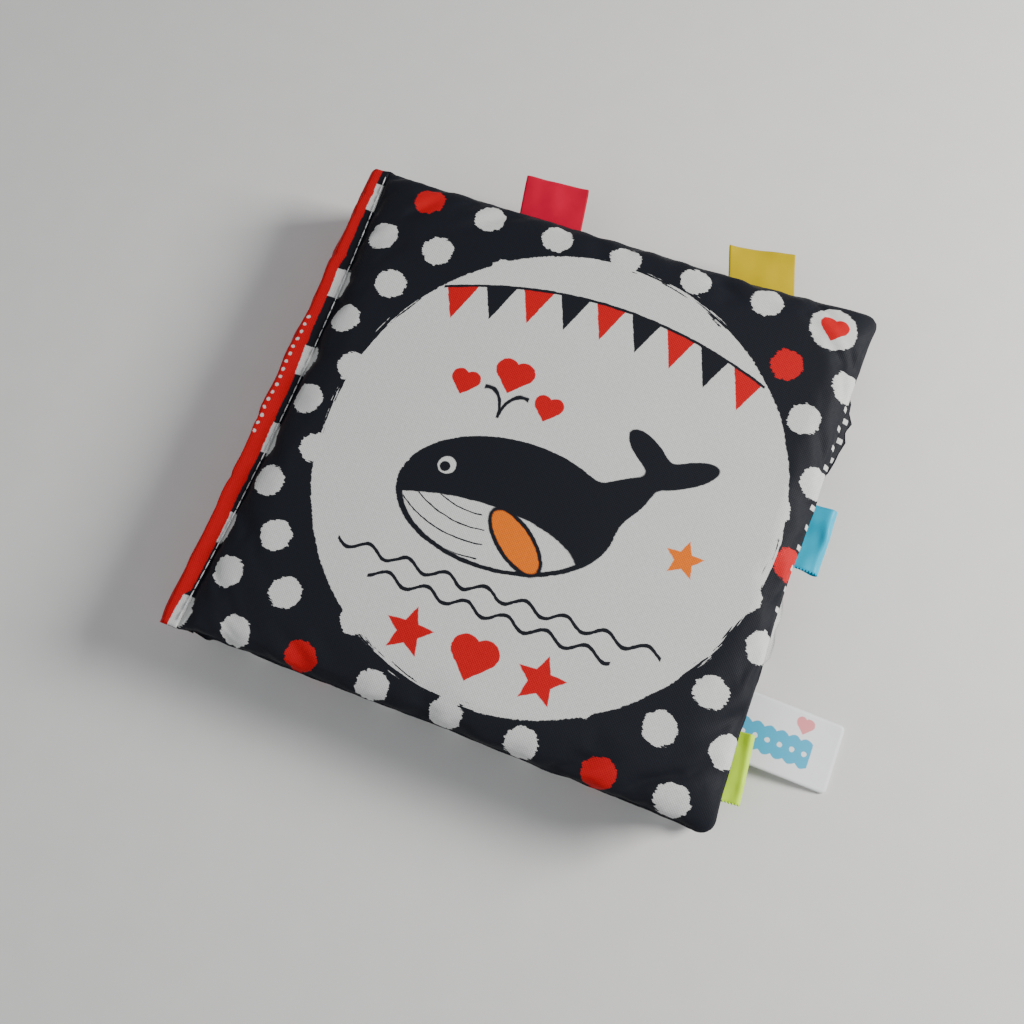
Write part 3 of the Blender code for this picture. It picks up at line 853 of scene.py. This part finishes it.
def spine_print(s, point, torn):
    """Red, with white and black blocks from the seam line to the fold, and a row of small spots."""
    across, down = s.sides(s.stamp(TORN, Point=point, Reach=0.7, Grain=0.8))
    along = s.ramp(down, 2.0 / PRINT_SIDE, -1.0)
    width = s.plus(s.times(along, along), 1.2)
    for middle, half, soft, wider in (
        (74.0, 12.0, 11.0, -1.2), (116.0, 33.0, 14.0, -1.7), (154.0, 9.5, 1.5, 1.4)
    ):
        width = s.ramp(s.near(down, middle, half, soft), wider, width)
    border = s.within(across, width)
    white = s.either(*[s.near(down, middle, 4.8) for middle in (10.3, 41.4, 68.2, 94.1, 123.5, 150.2)])
    step = s.calc("WRAP", down, -1.3, 1.3)
    spot = s.both(
        s.within(s.reach(s.join(across, step), 3.9, 0.0), 0.55, 0.12),
        s.near(down, 74.0, 20.8),
    )
    ink = s.paint(RED_INK, BARE_CLOTH, spot)
    return s.paint(ink, s.paint(NIGHT_INK, BARE_CLOTH, white), border)


SPINE_COTTON = printed_cotton("spine print", spine_print)


def flat_cut(name, points, wide, laid, stuff, thick, offset=0.0):
    """A single cut of cloth. points is its grid, with wide points in a row, and laid gives the place
    of each point on its print. It is thickened by thick, to the side that offset says."""
    faces = [
        (corner, corner + wide, corner + wide + 1, corner + 1)
        for row in range(0, len(points) - wide, wide)
        for corner in range(row, row + wide - 1)
    ]
    mesh = new_mesh(name, points, faces, stuff)
    prints = mesh.uv_layers.new(name="print")
    for loop in mesh.loops:
        prints.data[loop.index].uv = laid[loop.vertex_index]
    piece = stand(name, mesh)
    cloth = piece.modifiers.new("cloth", "SOLIDIFY")
    cloth.thickness = thick
    cloth.offset = offset
    return piece


def runs(path):
    """How far along a path each of its points lies."""
    lengths = [0.0]
    for before, after in zip(path, path[1:]):
        lengths.append(lengths[-1] + math.dist(before, after))
    return lengths


def spine_profile(y):
    """The strip's outline at y: points from the front cover's seam line to the bulge's middle."""
    flap_steps = 5
    seam = COVER_SEAM - 0.0002 + SEAM_BOW * (1 - (y / COVER_HALF) ** 2)
    bulge = SPINE_OUT + 0.0009 * noise.noise(Vector((y / 0.021, 4.2, 0.0)))
    bulge -= 0.0017 * math.exp(-(((y + 0.030) / 0.022) ** 2))  # it is pressed in here
    bulge += 0.0008 * math.exp(-(((y + 0.077) / 0.012) ** 2))  # and stands out at the tail
    bulge = min(bulge, SPINE_MOST_OUT)
    profile = [(seam + (FOLD_X - seam) * step / flap_steps, SPINE_RISE) for step in range(flap_steps)]
    for share in (*np.linspace(0.0, 0.94, 16), 0.996, 1.0):
        angle = math.pi / 2 * (1 - share)
        across = FOLD_X - bulge * math.cos(angle)
        profile.append((across, SPINE_MIDDLE + (SPINE_RISE - SPINE_MIDDLE) * math.sin(angle)))
    return profile


def spine_half(name, upper):
    """Half of the strip. Buckles dent it and sharper creases cross it, on over both halves."""
    shape, laid = [], []
    for y in np.linspace(SPINE_TAIL, SPINE_HEAD, 140):
        seam_bow = SEAM_BOW * (1 - (y / COVER_HALF) ** 2)
        head_end = max(y / COVER_HALF, 0.0) ** 12
        profile = spine_profile(y)
        for (px, pz), run in zip(profile, runs(profile)):
            off_seam = min(run / 0.004, 1.0)
            height = pz if upper else 2 * SPINE_MIDDLE - pz
            buckle = noise.noise(Vector(((y + 0.9 * height) / 0.011, height / 0.016, 3.1)))
            ridge = abs(noise.noise(Vector(((y - 0.7 * height) / 0.017, height / 0.019, 6.4))))
            dent = (0.00022 + 0.00045 * off_seam) * min(buckle, 0.12) * 1.6
            dent += 0.00055 * off_seam * max(1 - ridge / 0.13, 0) ** 1.5
            lower = (FRONT_MIDDLE - min(height, FRONT_MIDDLE)) / (FRONT_MIDDLE - BACK_MIDDLE)
            rounded = 0.0022 * min(max(FOLD_X - px, 0.0) / SPINE_OUT, 1.0) * head_end
            shape.append((px + dent, y * (1 - SPINE_SHORTER * lower) - rounded, height))
            laid.append(((run - seam_bow) * 1000 / PRINT_SIDE, (COVER_HALF - y) / (2 * COVER_HALF)))
    # The back half mirrors the front one, so its cloth is thickened to the other side
    return flat_cut(name, shape, len(profile), laid, SPINE_COTTON, 0.00035, -1.0 if upper else 1.0)


def set_shape(piece):
    """Turns a piece's modifiers into its own mesh."""
    graph = bpy.context.evaluated_depsgraph_get()
    made = bpy.data.meshes.new_from_object(piece.evaluated_get(graph))
    piece.modifiers.clear()
    piece.data = made


for half, cover, middle, upper in (
    ("spine_front_half", "front_cover", FRONT_MIDDLE, True),
    ("spine_back_half", "back_cover", BACK_MIDDLE, False),
):
    strip = spine_half(half, upper)
    set_shape(strip)
    if upper:
        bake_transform(strip)
    else:
        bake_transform(strip)
    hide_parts("spine_strip")

# The lining inside it is plain black cotton
lining_cotton, lining_stencil, lining_shader = new_material("lining cotton")
lining_place = lining_stencil.feed(
    lining_stencil.put("Mapping", vector_type="POINT"),
    Vector=lining_stencil.put("TexCoord").outputs["Object"],
    Rotation=(0.0, math.pi / 2, 0.0),
    Scale=(1000.0, 1000.0, 1000.0),
)
weave_into(lining_stencil, lining_shader, lining_place.outputs[0], NIGHT_INK)
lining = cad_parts["spine_lining"]
lining.data.materials.clear()
lining.data.materials.append(lining_cotton)


# Stitches: polyester sewing thread in a running lockstitch, white beside the spine on both covers
# and along each leaf's root. Each stitch is a short bead of thread that sinks at both ends.
THREAD, thread_stencil, thread_shader = new_material("white thread")
twist = thread_stencil.put("TexWave", wave_type="BANDS", bands_direction="DIAGONAL")
thread_stencil.feed(twist, Vector=thread_stencil.put("TexCoord").outputs["Object"], Scale=900.0)
# Painted shade: the white thread runs in darker and lighter diagonal bands along its twist, as shade in
# the grooves between its plies
thread_twist_shade = thread_stencil.paint(
    (0.50, 0.51, 0.53, 1.0), (0.78, 0.79, 0.80, 1.0), twist.outputs["Fac"]
)
thread_stencil.feed(thread_shader, Base_Color=thread_twist_shade, Roughness=0.55)


def stitch_row(name, route, stitch=0.0029, gap=0.00030, thick=0.00038):
    """A row of stitches along a route of points, made as one mesh. Each is a six-sided bead."""
    lengths = runs(route)

    def at(distance):
        place = np.interp(distance, lengths, range(len(route)))
        index = min(int(place), len(route) - 2)
        return Vector(route[index]).lerp(Vector(route[index + 1]), place - index)

    vertices, faces = [], []
    sections, sides = 5, 6
    start = gap
    while start + stitch < lengths[-1]:
        first = len(vertices)
        head, tail = at(start), at(start + stitch)
        run = (tail - head).normalized()
        side = run.cross(Vector((0, 0, 1))).normalized()
        up = side.cross(run)
        for section in range(sections):
            share = section / (sections - 1)
            girth = math.sin(math.pi * (0.08 + 0.84 * share)) ** 0.5
            centre = head.lerp(tail, share) + up * (thick * 0.32 * (girth - 1))
            for spoke in range(sides):
                angle = math.tau * spoke / sides
                out = side * math.cos(angle) + up * (math.sin(angle) * 0.8)
                vertices.append(tuple(centre + out * (thick / 2 * girth)))
        for section in range(sections - 1):
            for spoke in range(sides):
                a = first + section * sides + spoke
                b = first + section * sides + (spoke + 1) % sides
                faces.append((a, b, b + sides, a + sides))
        faces.append([first + spoke for spoke in range(sides)][::-1])
        faces.append([first + (sections - 1) * sides + spoke for spoke in range(sides)])
        start += stitch + gap
    row = stand(name, new_mesh(name, vertices, faces, THREAD))
    return row


STITCH_RISE = 0.00148  # how high the seam's stitches lie over a cover's mid plane
SEAM_SETBACK = 0.0006  # and how far beside the seam line, on the spine's side
BINDING_DROP = 0.00040  # a leaf's stitches lie this much lower than their solid, on its thin cloth

for side, z in (("front", FRONT_MIDDLE + STITCH_RISE), ("back", BACK_MIDDLE - STITCH_RISE)):
    route = [
        (COVER_SEAM - SEAM_SETBACK + SEAM_BOW * (1 - (y / COVER_HALF) ** 2), y, z)
        for y in np.linspace(-0.0755, 0.0755, 60)
    ]
    row = stitch_row(f"{side}_seam_stitches", route)
    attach(row, f"{side}_cover")
    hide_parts(f"{side}_seam_thread")
for number in range(1, 5):
    low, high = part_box(f"leaf_{number}_binding_thread")
    x, z = (low.x + high.x) / 2, (low.z + high.z) / 2 - BINDING_DROP
    route = [(x, y, z) for y in np.linspace(low.y, high.y, 30)]
    row = stitch_row(f"leaf_{number}_binding_stitches", route, thick=0.00030)
    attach(row, f"leaf_{number}")
    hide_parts(f"leaf_{number}_binding_thread")


# Tabs: satin ribbon 20 mm wide, folded in two with the cut ends caught between a leaf's two
# cloths. Two stand at the head and two at the fore-edge.
RIBBON_HALF = 10.4  # half of the ribbon's width in millimetres, as its weave is laid out


def satin(name, colour, dark, draw=None):
    """Satin ribbon: fine ribs across, soft gloss and a firmer woven selvedge at both sides.
    draw(stencil, point, ground) prints on it."""
    material, s, shader = new_material(name)
    point = s.put("UVMap", uv_map="print").outputs[0]
    along, across = s.sides(point)
    rib = s.calc("SINE", s.times(along, math.tau / 0.30))
    rib = s.ramp(rib, 0.25, s.fleck(point, 0.35, 2.0))
    selvedge = s.within(s.minus(RIBBON_HALF, s.calc("ABSOLUTE", across)), 0.7, 0.12)
    cloud = s.fleck(point, 5.0, 2.0)
    base = s.paint(colour, dark, s.ramp(cloud, 0.5, s.times(selvedge, 0.35)))
    if draw:
        base = draw(s, point, base)
    gloss = s.ramp(rib, 0.10, 0.34)
    relief = s.feed(s.put("Bump"), Strength=0.25, Distance=0.00006, Height=s.plus(rib, selvedge))
    s.feed(shader, Base_Color=base, Roughness=gloss, Specular_IOR_Level=0.22)
    s.feed(shader, Normal=relief.outputs[0])
    return material


def folded_tab(name, leaf, stuff, at_head, lean, turn, loop, shift, longer):
    """A loop of ribbon at a leaf's edge, and the points along its side. In plan its sides lean and
    its fold turns, in degrees; it stands shift to one side and longer than its solid; loop is the
    radius of its soft fold."""
    low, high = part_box(name)
    middle = (low + high) / 2
    if at_head:
        out, across, edge, tip = Vector((0, 1, 0)), Vector((-1, 0, 0)), low.y, high.y
        tuck = LEAF_HALF - edge
        root = Vector((middle.x, LEAF_HALF, middle.z))
        width = (high.x - low.x) * 0.97
        droop, twist = 0.0004, 0.0005
    else:
        out, across, edge, tip = Vector((1, 0, 0)), Vector((0, 1, 0)), low.x, high.x
        tuck = LEAF_FORE - edge
        root = Vector((LEAF_FORE, middle.y, middle.z))
        width = (high.y - low.y) * 0.93
        droop, twist = 0.0006, 0.0007
    root += across * shift
    reach = tip - edge + longer
    leg_steps, fold_steps, across_steps = 14, 10, 12
    flat_gap = 0.00032  # between the two layers where the seam holds them
    path = []
    for step in range(leg_steps):
        share = step / leg_steps
        swell = max(share - tuck / reach, 0.0) / (1 - tuck / reach)
        path.append(((reach - loop) * share, flat_gap + (loop - flat_gap) * swell**1.4))
    for step in range(fold_steps + 1):
        angle = math.pi / 2 - math.pi * step / fold_steps
        path.append((reach - loop + loop * math.cos(angle), loop * math.sin(angle)))
    path += [(distance, -height) for distance, height in path[leg_steps - 1 :: -1]]
    points, laid = [], []
    leaning = Matrix.Rotation(math.radians(lean), 3, "Z") @ out
    turned = Matrix.Rotation(math.radians(turn), 3, "Z") @ across
    for (distance, height), run in zip(path, runs(path)):
        free = max(distance - tuck, 0.0) / (reach - tuck)
        for column in range(across_steps + 1):
            side = 2 * column / across_steps - 1
            flat = leaning * (distance - tuck) + turned * (side * width / 2)
            crumple = noise.noise(Vector((side * 1.6, free * 1.5, lean))) * 0.0016 * free
            bend = -droop * free**2 + twist * side * free + crumple
            points.append(tuple(root + flat + Vector((0, 0, height + bend))))
            laid.append((run * 1000, side * RIBBON_HALF))
    wide = across_steps + 1
    tab = flat_cut(name.replace("_tab", "_loop"), points, wide, laid, stuff, 0.00022)
    finer = tab.modifiers.new("finer", "SUBSURF")
    finer.levels = finer.render_levels = 1
    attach(tab, leaf)
    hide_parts(name)
    return tab, [points[row * wide] for row in range(4, leg_steps + fold_steps // 2 + 1)]


for name, leaf, slot, colour, dark, stance in (
    ("red_ribbon_tab", "leaf_1", "crimson_satin", (0.60, 0.001, 0.036, 1), (0.42, 0.001, 0.020, 1),
     (10.6, 4.5, 0.0012, 0.0, 0.0012)),
    ("yellow_ribbon_tab", "leaf_2", "lemon_satin", (0.60, 0.44, 0.0, 1), (0.50, 0.35, 0.0, 1),
     (16.0, 8.0, 0.0010, -0.0008, 0.0009)),
    ("blue_ribbon_tab", "leaf_1", "blue_satin", (0.0, 0.48, 0.70, 1), (0.0, 0.36, 0.58, 1),
     (0.0, 0.5, 0.0016, 0.0, -0.0008)),
    ("lime_ribbon_tab", "leaf_3", "lime_satin", (0.62, 0.94, 0.03, 1), (0.52, 0.84, 0.02, 1),
     (5.0, 5.5, 0.0013, 0.0, -0.0012)),
):
    at_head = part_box(name)[1].y > COVER_HALF
    stuff = satin(name.replace("_", " ").replace(" tab", " satin"), colour, dark)
    tab, selvedge = folded_tab(name, leaf, stuff, at_head, *stance)
    if not at_head:  # small loops of the selvedge, which show at the fore-edge
        picots = stitch_row(name.replace("_tab", "_picots"), selvedge, 0.00055, 0.00035, 0.0006)
        picots.data.materials[0] = stuff
        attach(picots, leaf)


# Label: a piece of white satin sewn into the back cover's fore-edge, lying out flat beside the
# lime tab. It is printed with a pale blue scalloped band and a pink heart.
def label_print(s, point, ground):
    out, across = s.sides(s.stamp(TORN, Point=point, Reach=0.35, Grain=0.9))
    scallop = s.calc("ABSOLUTE", s.calc("SINE", s.times(out, math.pi / 3.6)))
    band = s.both(
        s.near(across, -1.6, s.ramp(scallop, 0.9, 3.3)),
        s.near(out, 12.6, 12.6),
    )
    dotted = s.join(s.calc("WRAP", out, 0.0, 3.6), across)
    dots = s.both(band, s.within(s.reach(dotted, 1.8, -1.6), 0.75, 0.12))
    ink = s.paint(ground, (0.045, 0.400, 0.620, 1.0), s.less(band, dots))
    upright = s.join(out, s.times(across, -1.0))
    heart = s.stamp(HEART, Point=upright, Across=21.5, Down=-5.6, Size=2.2)
    return s.paint(ink, (0.800, 0.260, 0.280, 1.0), heart)


def side_label():
    low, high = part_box("side_label")
    length, half = high.x - low.x, (high.y - low.y) / 2
    corner, droop, ripple = 0.0014, 0.0034, 0.0004
    columns, rows = 35, 25
    steps = np.linspace(0.0, length, columns), np.linspace(-half, half, rows)
    x, y = np.meshgrid(*steps, indexing="ij")
    px, py = rounded(x, y, length - x, half - abs(y), corner)
    share = x / length
    z = BACK_MIDDLE - droop * share**1.5 + ripple * np.sin(5 * share + 60 * y) * share
    points = np.stack([low.x + px, (low.y + high.y) / 2 + py, z], -1).reshape(-1, 3)
    laid = np.stack([px, py], -1).reshape(-1, 2) * 1000
    stuff = satin("label satin", (0.86, 0.87, 0.88, 1), (0.76, 0.78, 0.80, 1), label_print)
    label = flat_cut("side_label_satin", points.tolist(), rows, laid.tolist(), stuff, 0.0004)
    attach(label, "back_cover")
    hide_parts("side_label")


side_label()


# Table: a plain pale top with a faint mottle, which the closed book lies on
TABLE_HALF = 1.4
table_mesh = bpy.data.meshes.new("table")
table_mesh.from_pydata(
    [(x * TABLE_HALF, y * TABLE_HALF, 0.0) for x, y in ((-1, -1), (1, -1), (1, 1), (-1, 1))],
    [],
    [(0, 1, 2, 3)],
)
table_top, table_stencil, table_shader = new_material("pale table")
mottle = table_stencil.fleck(table_stencil.put("TexCoord").outputs["Object"], 0.012, 3.0)
pale = table_stencil.paint((0.76, 0.75, 0.73, 1.0), (0.80, 0.79, 0.77, 1.0), mottle)
table_stencil.feed(table_shader, Base_Color=pale, Roughness=0.85)
table_mesh.materials.append(table_top)
stand("table", table_mesh)
